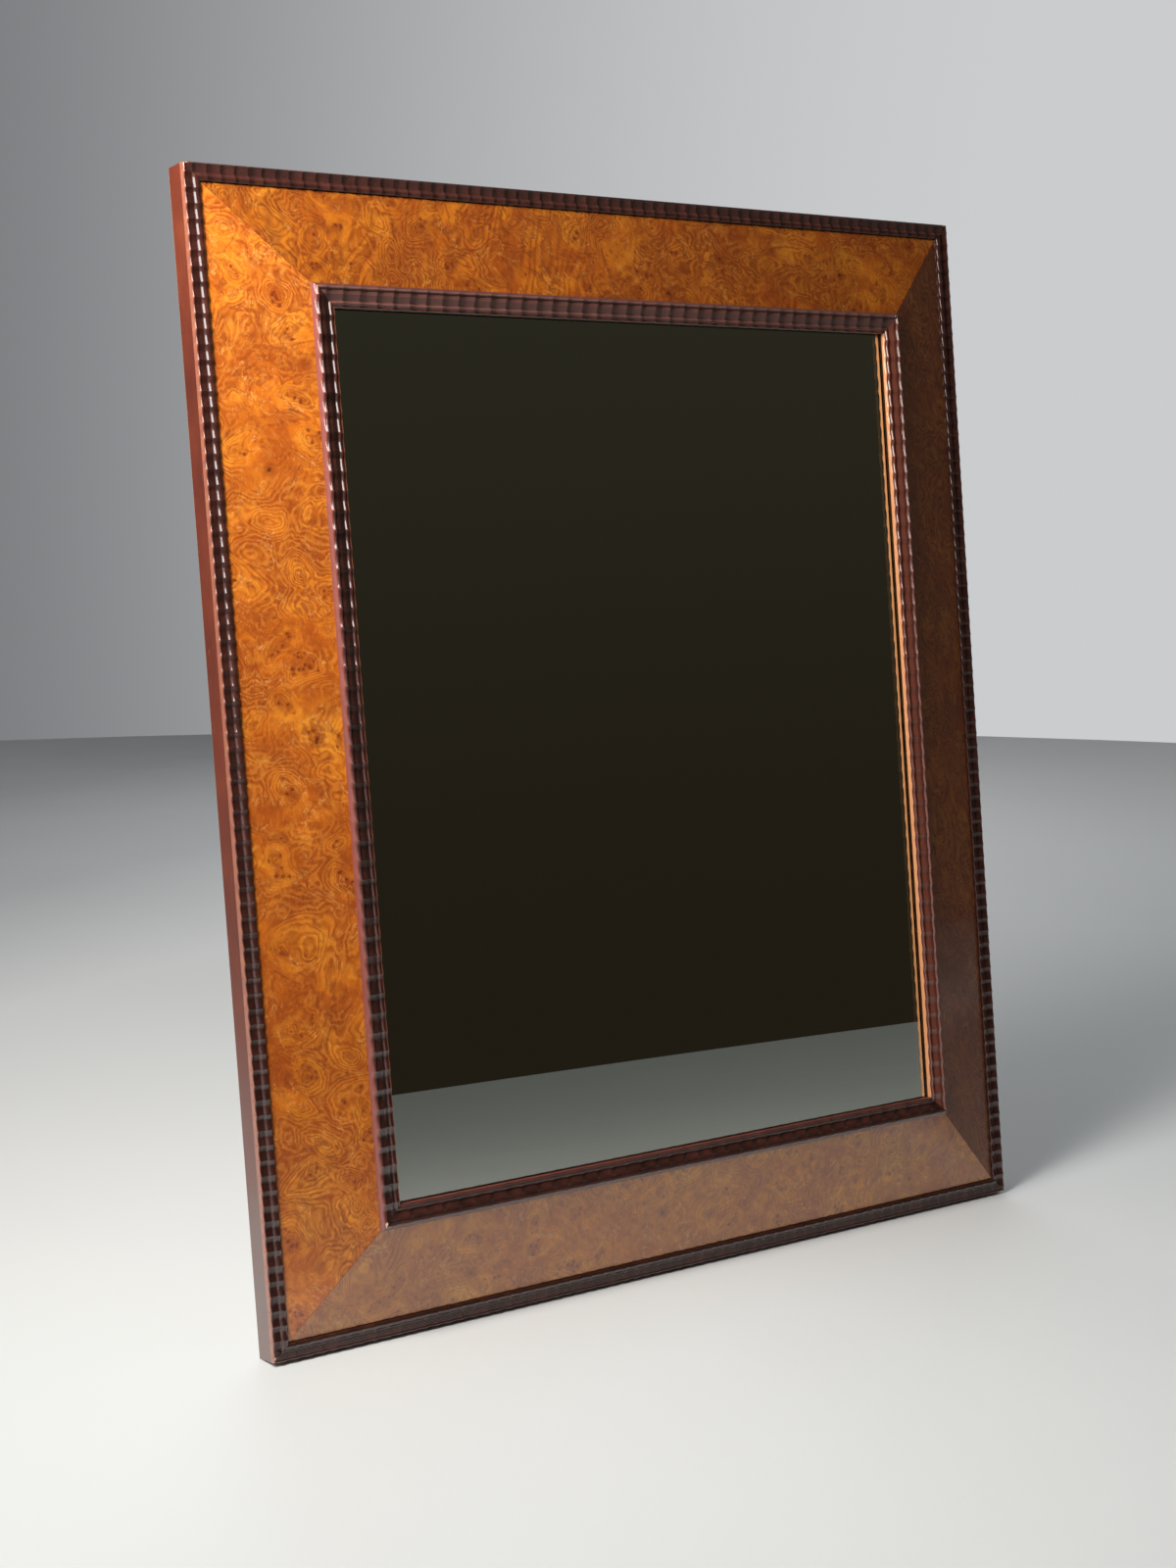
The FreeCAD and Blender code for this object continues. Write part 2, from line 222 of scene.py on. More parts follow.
class Burr(Finish):
    """Polished burr veneer: eyes of pips and rings among curling fibres, under varnish.

    shift is the place in the burr that the leaf is cut from. The tint after it is multiplied over
    the whole leaf as painted shading and painted light for how the lamps fall on the leaf's side
    of the frame, and on the bottom leaf as a painted reflection of the floor too. figure is how
    strongly it runs in bands, slant the turn of those bands, and lines how strongly its dark
    lines are drawn."""

    def __init__(self, name, shift, painted_shading, figure, slant, lines):
        super().__init__(name, Coat_Weight=1.0, Coat_Roughness=0.07, Coat_IOR=1.65,
                         Specular_IOR_Level=0.35, Roughness=0.36)
        here = self.place()
        self.lines = lines
        self.leaf = self.vector("ADD", here, shift)
        self.swirl = self.bent(self.bent(self.leaf, 8, 0.080), 30, 0.026, 3)
        self.eye = self.soft_cells(self.swirl, 29, 0.40)
        self.heart = self.eye.step(0.50, 0.14)
        self.drift = self.noise(self.swirl, 13, 3, 0.55)
        self.mottle = self.noise(self.bent(self.leaf, 60, 0.016), 70, 5, 0.66)
        self.fine = self.noise(self.bent(self.leaf, 150, 0.004), 260, 4, 0.7)
        self.draw_ground(figure, slant)
        self.draw_curls()
        self.draw_fibres()
        self.draw_pips()
        fleck = self.noise(self.bent(self.leaf, 300, 0.002), 1100, 2, 0.6)
        self.lay(fleck.step(0.50, 0.72) * 0.22, (0.240, 0.046, 0.006))
        self.lay(fleck.step(0.46, 0.29) * 0.13, (0.870, 0.420, 0.120))
        self.draw_mitre(here)
        # Painted shading and light for this side; on the bottom leaf, a painted floor reflection.
        self.lay(1.0, painted_shading, "MULTIPLY")
        self.feed("Base Color", self.body)
        self.bump(self.noise(self.leaf, 14, 2) * 0.9 + fleck * 0.015, 0.0010, 0.30)

    def draw_ground(self, figure, slant):
        """The ground with its bands and layers, lighter round the eyes and darker between them."""
        turned = self.node("ShaderNodeMapping", None, {
            "Vector": self.bent(self.leaf, 9, 0.070), "Rotation": (0, slant, 0)})
        banded = self.vector("MULTIPLY", turned, (1.0, 1.0, 0.26))
        run = self.noise(self.leaf, 5, 2).step(0.30, 0.50) * figure
        tone = self.drift * 1.05 + self.mottle * 0.60 - self.eye * 0.18 - 0.18
        tone = tone * (1 - run * 0.65) + self.noise(banded, 24, 3, 0.60) * run * 0.80
        self.body = self.ramp(
            tone, (0.26, (0.210, 0.038, 0.006)), (0.40, (0.400, 0.082, 0.007)),
            (0.54, (0.600, 0.152, 0.009)), (0.70, (0.730, 0.235, 0.014)),
            (0.86, (0.800, 0.330, 0.030)))
        bands = self.noise(banded, 9, 3, 0.58).step(0.50, 0.60)
        self.lay(bands * (0.16 + run * 0.46), (0.270, 0.050, 0.006))
        layers = (self.noise(banded, 12, 2, 0.5) * 130).wave()
        self.lay(layers ** 2 * run * 0.66 * self.lines, (0.220, 0.040, 0.006))
        self.lay(self.eye.step(0.42, 0.30) * (1 - self.heart) * 0.55, (0.800, 0.290, 0.022))
        self.lay(self.eye.step(0.44, 0.58) * 0.50, (0.330, 0.064, 0.007))

    def draw_curls(self):
        """Lines of growth: wandering ones, broad brows, arcs round the eyes and rings in them."""
        wander = (self.drift * 105 + self.eye * 34 + self.mottle * 9 + self.fine * 2.5).wave()
        shown = self.noise(self.leaf, 22, 3).step(0.42, 0.60)
        self.lay(wander ** 2 * shown * 0.62 * self.lines, (0.235, 0.042, 0.006))
        brow = self.noise(self.bent(self.swirl, 44, 0.012, 3), 19, 3, 0.55)
        brow = (brow * 62 + self.fine * 1.5).sine().step(0.50, 0.98)
        shown = self.noise(self.leaf, 26, 3, 0.6).step(0.43, 0.56)
        self.lay(brow * shown * 0.54 * self.lines, (0.200, 0.035, 0.006))
        arcs = (self.eye * 66 + self.drift * 16 + self.mottle * 3 + self.fine * 1.2).wave()
        elsewhere = self.vector("ADD", self.leaf, (3.1, 0.0, 1.9))
        shown = self.noise(elsewhere, 13, 2).step(0.38, 0.54)
        self.lay(arcs ** 2 * shown * 0.52 * self.lines, (0.240, 0.043, 0.006))
        self.lay((1 - arcs) ** 3 * shown * 0.18 * self.lines, (0.860, 0.400, 0.060))
        rings = (self.eye * 125 + self.mottle * 9).wave()
        shown = self.heart * self.noise(self.leaf, 33, 2).step(0.42, 0.58)
        self.lay(rings ** 2 * shown * 0.80, (0.230, 0.040, 0.006))

    def draw_fibres(self):
        """Pale hairs, short dark and light strokes, and soft golden and brown patches."""
        hair = abs(self.noise(self.bent(self.swirl, 90, 0.010, 4), 30, 4, 0.62) - 0.5)
        shown = self.noise(self.leaf, 34, 4, 0.65).step(0.43, 0.57) * self.fine.step(0.40, 0.60)
        self.lay(hair.step(0.018, 0.003) * shown * 0.44, (0.900, 0.480, 0.130))
        grain = self.vector("MULTIPLY", self.bent(self.swirl, 20, 0.02), (1.0, 1.0, 0.22))
        strokes = self.noise(grain, 430, 3, 0.6)
        self.lay(strokes.step(0.52, 0.72) * 0.28, (0.230, 0.042, 0.006))
        self.lay(strokes.step(0.48, 0.31) * 0.20, (0.840, 0.380, 0.080))
        patches = self.noise(self.bent(self.leaf, 40, 0.03, 3), 48, 4, 0.62)
        self.lay(patches.step(0.54, 0.70) * 0.28, (0.800, 0.300, 0.026))
        self.lay(patches.step(0.46, 0.31) * 0.32, (0.300, 0.054, 0.006))

    def draw_pips(self):
        """Dark pips, crowded in the hearts of the eyes, and a few larger pin knots."""
        around = self.bent(self.leaf, 110, 0.007, 3)
        pip = self.cells(around, 175)
        chance = self.axes(self.cells(around, 175, "Color"))[0]
        cluster = self.heart * self.noise(self.leaf, 19, 2).step(0.34, 0.50)
        chosen = (chance * 0.70 + cluster).step(0.99, 1.18)
        self.lay(cluster * 0.30, (0.300, 0.056, 0.007))
        self.lay(pip.step(0.85, 0.30) * chosen * 0.55, (0.270, 0.046, 0.006))
        self.lay(pip.step(0.44, 0.15) * chosen * 0.78, (0.125, 0.018, 0.004))
        knot = self.cells(self.bent(self.leaf, 90, 0.008), 17)
        self.lay(knot.step(0.16, 0.06) * 0.50, (0.230, 0.040, 0.006))
        self.lay(knot.step(0.050, 0.028) * 0.80, (0.070, 0.013, 0.005))

    def draw_mitre(self, here):
        """The dark line of glue at each mitre."""
        x, _, z = self.axes(here)
        off_mitre = abs((HALF_WIDTH - abs(x)) - z.lower(HEIGHT - z))
        self.lay(off_mitre.step(0.55 * MM, 0.15 * MM) * 0.75, (0.090, 0.022, 0.008))


def moulding_finish(name, tint_share=0.0, tint=None):
    """Ebonised mouldings: near black, red-brown on the flanks and worn at the arrises. A colour
    laid over a whole moulding adds painted light or a painted reflection for one side.
    """
    f = Finish(name, Coat_Weight=1.0, Coat_Roughness=0.08, Coat_IOR=1.6, Specular_IOR_Level=0.15)
    place = f.place()
    wear = f.attribute("wear")
    bare = f.attribute("bare")
    patches = f.noise(place, 55, 4, 0.6)
    grain = f.noise(place, 420, 3, 0.6)
    f.body = f.ramp(patches * 0.7 + grain * 0.3, (0.30, (0.0240, 0.0075, 0.0060)),
                    (0.55, (0.0550, 0.0170, 0.0125)), (0.78, (0.1080, 0.0320, 0.0220)))
    flank = f.ramp(bare + (patches - 0.5) * 0.25, (0.06, (0.050, 0.013, 0.010)),
                   (0.30, (0.120, 0.028, 0.020)), (0.52, (0.230, 0.058, 0.042)),
                   (0.86, (0.640, 0.270, 0.110)))
    # An even colour over the moulding: painted light or a painted reflection for its side.
    if tint:
        f.lay(tint_share, tint)
    f.lay(bare.step(0.0, 0.22), flank)
    rubbed = (wear * 0.85 + patches * 0.35 + grain * 0.25).step(0.84, 1.05)
    f.lay(rubbed * 0.55, (0.230, 0.066, 0.034))
    worn = (wear * 0.8 + f.noise(place, 140, 3, 0.65) * 0.6).step(1.15, 1.23)
    f.lay(worn, (0.760, 0.560, 0.370))
    f.feed("Base Color", f.body)
    f.feed("Roughness", 0.26 + patches * 0.12 + worn * 0.3)
    f.bump(grain, 0.00025, 0.5)
    return f.material


def timber_finish(name, upright, painted=False, shift=(0, 0, 0), tone=1.0):
    """Softwood with its grain along the piece, painted where the frame's outer edge shows."""
    def lengthways(squeeze):
        return (1, 1, squeeze) if upright else (squeeze, 1, 1)

    f = Finish(name, Specular_IOR_Level=0.25, Coat_Roughness=0.18, Coat_IOR=1.6)
    place = f.place()
    board = f.vector("ADD", place, shift)
    knot = f.cells(f.vector("MULTIPLY", f.bent(board, 30, 0.010), lengthways(0.55)), 5.5)
    along = f.vector("MULTIPLY", f.bent(board, 4, 0.03), lengthways(0.11))
    rings = (f.noise(along, 7, 1, 0.4) * 150 + knot.step(0.26, 0.02) * 16).wave()
    wide = f.noise(along, 20, 2, 0.5)
    fibre = f.noise(f.vector("MULTIPLY", board, lengthways(0.04)), 900, 3, 0.6)
    stain = f.noise(board, 5, 4, 0.6)
    f.body = f.ramp(wide * 0.5 + fibre * 0.25 + stain * 0.35, (0.36, (0.340, 0.198, 0.094)),
                    (0.55, (0.420, 0.258, 0.128)), (0.76, (0.490, 0.318, 0.168)))
    f.lay(rings ** 3 * (0.26 + wide * 0.34), (0.205, 0.104, 0.045))
    f.lay(fibre.step(0.56, 0.72) * 0.22, (0.190, 0.105, 0.052))
    f.lay(knot.step(0.075, 0.055) * 0.75, (0.140, 0.062, 0.026))
    f.lay(knot.step(0.035, 0.010) * 0.50, (0.070, 0.032, 0.016))
    f.lay(stain.step(0.52, 0.75) * 0.35, (0.150, 0.085, 0.045))
    f.lay(1.0, (tone, tone, tone), "MULTIPLY")
    rough = 0.62 + fibre * 0.15
    if painted:
        rough = painted_edge(f, place, fibre, rough)
    f.feed("Base Color", f.body)
    f.feed("Roughness", rough)
    f.bump(fibre + rings ** 2 * 0.4, 0.0003, 0.4)
    return f.material


def painted_edge(f, place, fibre, rough):
    """Paints the frame's outer edge red-brown and gives the roughness. Near the floor the paint
    is greyer and less red: painted shading and a painted reflection of the floor.
    """
    x, y, z = f.axes(place)
    out = abs(x).higher(abs(z - HEIGHT / 2) + (HALF_WIDTH - HEIGHT / 2))
    bare_back = (y + f.noise(place, 120, 2) * 0.3 * MM).step(BACK - 0.2 * MM, BACK)
    shown = out.step(HALF_WIDTH - 0.35 * MM, HALF_WIDTH - 0.15 * MM) * (1 - bare_back)
    cloud = f.noise(place, 14, 3, 0.6)
    # Near the floor: painted shading and a painted grey reflection of the floor, and more coat.
    low = (z + (cloud - 0.5) * 0.3).step(0.42, 0.0)
    scuff = f.noise(f.vector("MULTIPLY", place, (1, 1, 0.12)), 260, 4, 0.65)
    paint = f.ramp(cloud * 0.7 + fibre * 0.3, (0.25, (0.076, 0.013, 0.006)),
                   (0.55, (0.136, 0.025, 0.010)), (0.85, (0.215, 0.052, 0.018)))
    paint = f.mix(low * 0.55, paint, (0.105, 0.062, 0.052))
    paint = f.mix(scuff.step(0.66, 0.74) * 0.4, paint, (0.420, 0.210, 0.130))
    f.lay(shown, paint)
    f.feed("Coat Weight", shown * (0.10 + low * 0.90))
    return rough * (1 - shown) + (0.26 + cloud * 0.10) * shown


def metal_finish(name, bright, dull, roughness, scale):
    """A metal with darker tarnish in soft patches and fine scratches."""
    f = Finish(name, Metallic=1.0)
    place = f.place()
    tarnish = f.noise(place, scale, 4, 0.6)
    f.feed("Base Color", f.mix(tarnish.step(0.42, 0.66), bright, dull))
    f.feed("Roughness", roughness + tarnish * 0.25)
    f.bump(f.noise(place, scale * 9, 3, 0.6), 0.00012, 0.5)
    return f.material


def glass_finish():
    """Clear plate with the faint green of old glass."""
    f = Finish("plate_glass", Base_Color=(0.93, 0.97, 0.945, 1), Roughness=0.0, IOR=1.5,
               Transmission_Weight=1.0)
    return f.material


def silver_finish():
    """Silvering seen through the plate, with a few faint dark specks."""
    f = Finish("silver", Metallic=1.0, Roughness=0.0)
    place = f.place()
    specks = f.cells(place, 42).step(0.035, 0.015) * f.noise(place, 9, 2).step(0.5, 0.62)
    f.body = f.mix(f.noise(place, 3, 3), (0.88, 0.89, 0.86), (0.92, 0.93, 0.91))
    f.lay(specks * 0.6, (0.10, 0.10, 0.09))
    f.feed("Base Color", f.body)
    return f.material


def backing_paint():
    """The dull red-grey paint over the back of the silvering."""
    f = Finish("backing_paint", Specular_IOR_Level=0.3)
    tone = f.noise(f.place(), 30, 4, 0.6)
    f.feed("Base Color", f.mix(tone, (0.13, 0.075, 0.060), (0.22, 0.14, 0.11)))
    f.feed("Roughness", 0.6 + tone * 0.2)
    return f.material


# Mouldings. A line of a section has its inset and its height over the bed in millimetres, how
# worn it is, how far it follows the ripples, and how bare of black it is: 0.5 for red-brown
# and 1 for pale wood.

def flutes(start, end, count, depth):
    """Fine grooves between two points of a section given as (inset, height)."""
    lines = []
    for k in range(2 * count + 1):
        t = k / (2 * count)
        height = start[1] + (end[1] - start[1]) * t - (depth if k % 2 else 0)
        lines.append((start[0] + (end[0] - start[0]) * t, height, 0.0 if k % 2 else 0.15, 1, 0))
    return lines


OUTER_OUTLINE = [
    (0.00, 7.00, 0.4, 0.5, 0.6), (0.08, 7.20, 0.9, 0.9, 0.6), (0.42, 7.54, 1.0, 1, 0.35),
    (0.80, 7.88, 1.0, 1, 0.1), (1.20, 8.00, 0.7, 1, 0), (1.60, 7.86, 0.3, 1, 0),
    *flutes((2.20, 7.35), (8.50, 6.10), 5, 0.20),
    (8.90, 6.15, 0, 1, 0), (9.20, 6.55, 0.1, 1, 0), (9.60, 7.03, 0.3, 1, 0),
    (10.00, 7.43, 0.6, 1, 0), (10.45, 7.83, 0.7, 1, 0), (10.90, 8.17, 0.6, 1, 0),
    (11.60, 8.50, 0.5, 1, 0), (12.50, 8.75, 0.4, 1, 0), (13.40, 8.76, 0.3, 1, 0),
    (14.50, 8.50, 0.3, 1, 0), (15.60, 7.95, 0.3, 1, 0), (16.10, 7.45, 0.2, 1, 0),
    (16.30, 6.60, 0, 0.8, 0), (16.45, 5.25, 0, 0.2, 0),
]
INNER_OUTLINE = [
    (0.00, 2.30, 0.1, 0, 0.5), (0.80, 4.20, 0.1, 0.05, 0.5), (1.60, 5.75, 0.1, 0.15, 0.5),
    (2.30, 6.92, 0.2, 0.40, 0.5), (2.85, 7.68, 0.4, 0.75, 0.45), (3.35, 8.24, 0.8, 1, 0.3),
    (3.80, 8.69, 1.0, 1, 0.1), (4.25, 9.06, 0.9, 1, 0), (4.70, 9.35, 0.8, 1, 0),
    (5.20, 9.49, 0.6, 1, 0), (5.65, 9.30, 0.4, 1, 0), (5.98, 8.80, 0.2, 1, 0),
    (6.25, 8.15, 0.1, 1, 0), (6.50, 7.70, 0, 1, 0), (6.80, 7.45, 0, 1, 0),
    (7.30, 7.45, 0, 1, 0), (7.70, 7.75, 0, 1, 0),
    *flutes((8.20, 8.00), (10.40, 7.90), 2, 0.12),
    *flutes((11.00, 7.75), (14.20, 6.15), 3, 0.12),
    (15.00, 5.55, 0, 1, 0), (16.00, 5.25, 0, 1, 0), (16.80, 5.25, 0, 1, 0),
    (17.15, 5.55, 0, 1, 0), (17.50, 5.96, 0.4, 1, 0), (17.85, 6.29, 0.8, 1, 0),
    (18.22, 6.55, 0.9, 1, 0), (18.65, 6.71, 0.8, 1, 0), (19.15, 6.66, 0.6, 1, 0),
    (19.60, 6.38, 0.5, 1, 0), (19.95, 5.90, 0.4, 1, 0), (20.20, 5.45, 0.1, 1, 0),
    (20.45, 5.15, 0, 1, 0.1), (20.95, 5.30, 0.1, 1, 0.35), (21.75, 5.25, 0.2, 0.95, 0.5),
    (22.35, 4.95, 0.4, 0.9, 0.85), (22.62, 4.40, 0.2, 0.8, 1), (22.85, 2.60, 0.1, 0.5, 1),
    (23.00, 1.00, 0.1, 0.25, 1), (23.05, 0.40, 0, 0, 0.9),
]
BARENESS = {"left": 1.0, "top": 0.34, "right": 1.0, "bottom": 0.40}
CHIPPED = 5.0 * MM                          # length at a mitre where the black is knocked off
CHIP_WEAR = 0.65
HOLLOW_WEAR = 0.45                          # share of a line's wear in the hollows
OUTER_RIPPLE = (14.1 * MM, 1.2 * MM)        # pitch and depth
INNER_RIPPLE = (18.0 * MM, 1.3 * MM)
UNEVENNESS = 0.10                           # share by which ripples differ in depth
LONG_FACE = 0.62                            # share of a ripple's pitch
LONG_FACE_STATIONS = (0.0, 0.26, 0.46, 0.62, 0.76, 0.89, 1.0)
SHORT_FACE_STATIONS = (0.12, 0.34, 0.58, 0.82)
LONG_FACE_CURVE = 1.6                       # 1 would make the face flat
SHORT_FACE_CURVE = 1.7
LONG_FACE_WEAR = 7                          # how closely the wear keeps to the crest
SHORT_FACE_WEAR = 5


def ripple_stations(length, pitch, depth, peak_last):
    """Places along a moulding as (along, rise, nearness to a crest), one ripple past each end."""
    count = max(1, round(length / pitch))
    step = length / count
    stations = []
    for ripple in range(-1, count + 1):
        wobble = math.sin(ripple * 2.3 + math.sin(ripple * 5.1))
        own_depth = depth * (1 + UNEVENNESS * wobble)
        shape = [(LONG_FACE * t, -own_depth * (1 - t ** LONG_FACE_CURVE), t ** LONG_FACE_WEAR)
                 for t in LONG_FACE_STATIONS]
        shape += [(LONG_FACE + (1 - LONG_FACE) * t,
                   -own_depth * (1 - (1 - t) ** SHORT_FACE_CURVE), (1 - t) ** SHORT_FACE_WEAR)
                  for t in SHORT_FACE_STATIONS]
        if not peak_last:
            shape = [(1 - t, rise, crest) for t, rise, crest in reversed(shape)]
        stations += [((ripple + t) * step, rise, crest) for t, rise, crest in shape]
    return stations


def side_matrix(side, bed):
    """Turns (along, inset, height over the bed) into the row frame."""
    along, inset = SIDES[side]
    x = HALF_WIDTH if side in ("top", "right") else -HALF_WIDTH
    z = HEIGHT if side in ("top", "left") else 0
    matrix = Matrix((along, inset, Vector((0, -1, 0)))).transposed().to_4x4()
    matrix.translation = Vector((x, bed, z))
    return matrix


def in_scene(name, data):
    """Puts a mesh, lamp or camera in the scene as an object."""
    made = bpy.data.objects.new(name, data)
    bpy.context.scene.collection.objects.link(made)
    return made


def mesh_object(name, bm, materials=()):
    """Makes an object of a finished bmesh."""
    mesh = bpy.data.meshes.new(name)
    bm.to_mesh(mesh)
    bm.free()
    for material in materials:
        mesh.materials.append(material)
    return in_scene(name, mesh)


def new_piece(name, bm, materials, body="frame", sharp=40):
    """Makes a piece, shaded smooth but for edges sharper than an angle in degrees."""
    piece = mesh_object(name, bm, materials)
    piece.data.shade_smooth()
    piece.data.set_sharp_from_angle(angle=math.radians(sharp))
    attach(piece, body)
    return piece


def face_outwards(bm):
    """Turns the faces of a closed shape outwards."""
    bmesh.ops.recalc_face_normals(bm, faces=bm.faces)
    if bm.calc_volume(signed=True) < 0:
        bmesh.ops.reverse_faces(bm, faces=bm.faces)


def cut_mitre(bm, point, normal):
    """Cuts off what lies beyond a plane."""
    geometry = bm.verts[:] + bm.edges[:] + bm.faces[:]
    bmesh.ops.bisect_plane(bm, geom=geometry, dist=MERGED, plane_co=point, plane_no=normal,
                           clear_outer=True)


def ripple_moulding(name, side, outline, start, bed, ripple, material):
    """A rippled moulding of one side, mitred at both ends, over its flat bed."""
    length = 2 * HALF_WIDTH if side in ("top", "bottom") else HEIGHT
    stations = ripple_stations(length, *ripple, side in ("left", "bottom"))
    first, last = outline[0], outline[-1]
    section = [(first[0], 0, 0, 0, first[4]), *outline, (last[0], 0, 0, 0, last[4])]
    bm = bmesh.new()
    wear_layer = bm.verts.layers.float.new("wear")
    bare_layer = bm.verts.layers.float.new("bare")
    around = len(section)
    bmesh.ops.create_grid(bm, x_segments=len(stations) - 1, y_segments=around, size=0.5)
    for vert in bm.verts:
        along, rise, crest = stations[round((vert.co.x + 0.5) * (len(stations) - 1))]
        inset, height, wear, follows, bare = section[round((vert.co.y + 0.5) * around) % around]
        vert.co = (along, start + inset * MM, height * MM + rise * follows)
        off_mitre = min(along, length - along) - start - inset * MM
        chip = CHIP_WEAR if off_mitre < CHIPPED else 0
        vert[wear_layer] = wear * (HOLLOW_WEAR + (1 - HOLLOW_WEAR) * crest + chip)
        vert[bare_layer] = bare * BARENESS[side]
    bmesh.ops.remove_doubles(bm, verts=bm.verts, dist=MERGED)
    cut_mitre(bm, (0, 0, 0), (-1, 1, 0))
    cut_mitre(bm, (length, 0, 0), (1, 1, 0))
    bmesh.ops.holes_fill(bm, edges=[e for e in bm.edges if e.is_boundary])
    bm.transform(side_matrix(side, bed))
    face_outwards(bm)
    return new_piece(name, bm, [material], sharp=32)


SILVER_MARGIN = 0.4 * MM                    # from the edge of the plate
SILVER_LIFT = 0.05 * MM                     # into the back of the plate
SILVER_CORNER = 2 * MM


def silver_sheet():
    """The silvering, a hair inside the back of the plate, with paint over its back."""
    low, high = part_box("silvering")
    low = low + Vector((SILVER_MARGIN, -SILVER_LIFT, SILVER_MARGIN))
    high = high - Vector((SILVER_MARGIN, 0, SILVER_MARGIN))
    size = high - low
    bm = bmesh.new()
    bmesh.ops.create_cube(bm, size=1.0)
    bmesh.ops.scale(bm, verts=bm.verts, vec=size)
    bmesh.ops.translate(bm, verts=bm.verts, vec=(low + high) / 2)
    corners = [e for e in bm.edges if abs((e.verts[0].co - e.verts[1].co).y) > size.y / 2]
    bmesh.ops.bevel(bm, geom=corners, offset=SILVER_CORNER, offset_type="OFFSET", segments=4,
                    profile=0.5, affect="EDGES", material=-1)
    for face in bm.faces:
        face.material_index = 0 if face.normal.y < -0.5 else 1
    piece = new_piece("silver_coat", bm, [silver_finish(), backing_paint()])
    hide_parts("silvering")


# Hangers and screws. A ring turns on the axis of its bar.

HANGER_X = 423.5 * MM                       # to each side of the middle
HANGER_AXIS = 4.1 * MM                      # over the back of the frame
HANGER_DROP = 290 * MM                      # below the top
STRAP_WIDTH = 20 * MM
STRAP_LENGTH = 58 * MM
STRAP_THICKNESS = 1.2 * MM
STRAP_CORNER = 6 * MM
STRAP_EASING = 0.22 * MM
KNUCKLE_RADIUS = 2.57 * MM                  # to the middle of the strip
KNUCKLE_TURN = math.radians(285)
BEND_RADIUS = 4 * MM
WIRE_RADIUS = 1.9 * MM
RING_BAR = 22 * MM
RING_CORNER = 5 * MM
RING_DROP = 8 * MM                          # straight part of each leg
STRAP_SCREWS = (-44 * MM, -18 * MM)         # heights from the ring's axis
CORNER_SCREW_INSETS = ((32 * MM, 68 * MM), (68 * MM, 32 * MM))
# A screw's lathe line is in millimetres as (radius, height over its seat).
SCREW_HEAD = [(0, 0.34), (1.5, 0.29), (2.7, 0.14), (3.5, -0.05), (3.8, -0.30), (1.8, -2.4)]
SCREW_SHANK = 1.8
SCREW_POINT = 0.3
SCREW_TAPER = 4
STRAP_SCREW_LENGTH = 12
CORNER_SCREW_LENGTH = 28
SCREW_SLOT = Vector((0.9, 1.6, 9.0)) * MM
FIRST_SLOT_TURN = 0.5                       # radians
SLOT_TURN = 1.9                             # from each screw's slot to the next one's


def carried_on(bm, edges, move):
    """Extrudes open edges by a straight move, and gives the new ones."""
    made = bmesh.ops.extrude_edge_only(bm, edges=edges)["geom"]
    verts = [item for item in made if isinstance(item, bmesh.types.BMVert)]
    bmesh.ops.translate(bm, verts=verts, vec=move)
    return [item for item in made if isinstance(item, bmesh.types.BMEdge)
            and item.verts[0] in verts and item.verts[1] in verts]


def swung_on(bm, edges, centre, axis, angle, steps):
    """Extrudes open edges round an axis, and gives the new ones."""
    verts = list(dict.fromkeys(vert for edge in edges for vert in edge.verts))
    made = bmesh.ops.spin(bm, geom=verts + edges, cent=centre, axis=axis, angle=angle,
                          steps=steps)
    return [item for item in made["geom_last"] if isinstance(item, bmesh.types.BMEdge)]


def hanger_strap(side, x, material):
    """A strip that lies on the back and is rolled at its top round the ring's bar."""
    axis = Vector((x, BACK + HANGER_AXIS, HEIGHT - HANGER_DROP))
    flat = BACK + STRAP_THICKNESS / 2
    offset = HANGER_AXIS - KNUCKLE_RADIUS - STRAP_THICKNESS / 2
    bend = math.acos(1 - offset / (2 * BEND_RADIUS))
    bend_start = axis.z - 2 * BEND_RADIUS * math.sin(bend)
    bm = bmesh.new()
    ends = [bm.verts.new((x + across, flat, axis.z - STRAP_LENGTH))
            for across in (-STRAP_WIDTH / 2, STRAP_WIDTH / 2)]
    edges = [bm.edges.new(ends)]
    edges = carried_on(bm, edges, (0, 0, bend_start - axis.z + STRAP_LENGTH))
    # Two opposite bends step the strip out from the back to the side of its knuckle.
    centre = Vector((x, flat + BEND_RADIUS, bend_start))
    edges = swung_on(bm, edges, centre, (-1, 0, 0), bend, steps=4)
    reach = 2 * BEND_RADIUS * Vector((0, -math.cos(bend), math.sin(bend)))
    edges = swung_on(bm, edges, centre + reach, (1, 0, 0), bend, steps=4)
    swung_on(bm, edges, axis, (-1, 0, 0), KNUCKLE_TURN, steps=22)
    bmesh.ops.bevel(bm, geom=ends, offset=STRAP_CORNER, offset_type="OFFSET", segments=6,
                    profile=0.5, affect="VERTICES", material=-1)
    bmesh.ops.recalc_face_normals(bm, faces=bm.faces)
    piece = new_piece("strap_" + side, bm, [material])
    shell = piece.modifiers.new("thickness", "SOLIDIFY")
    shell.thickness = STRAP_THICKNESS
    shell.offset = 0
    rounding = piece.modifiers.new("eased_edges", "BEVEL")
    rounding.width = STRAP_EASING
    rounding.segments = 2
    rounding.limit_method = "ANGLE"
    rounding.angle_limit = math.radians(50)
    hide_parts("hanger_strap_" + side)


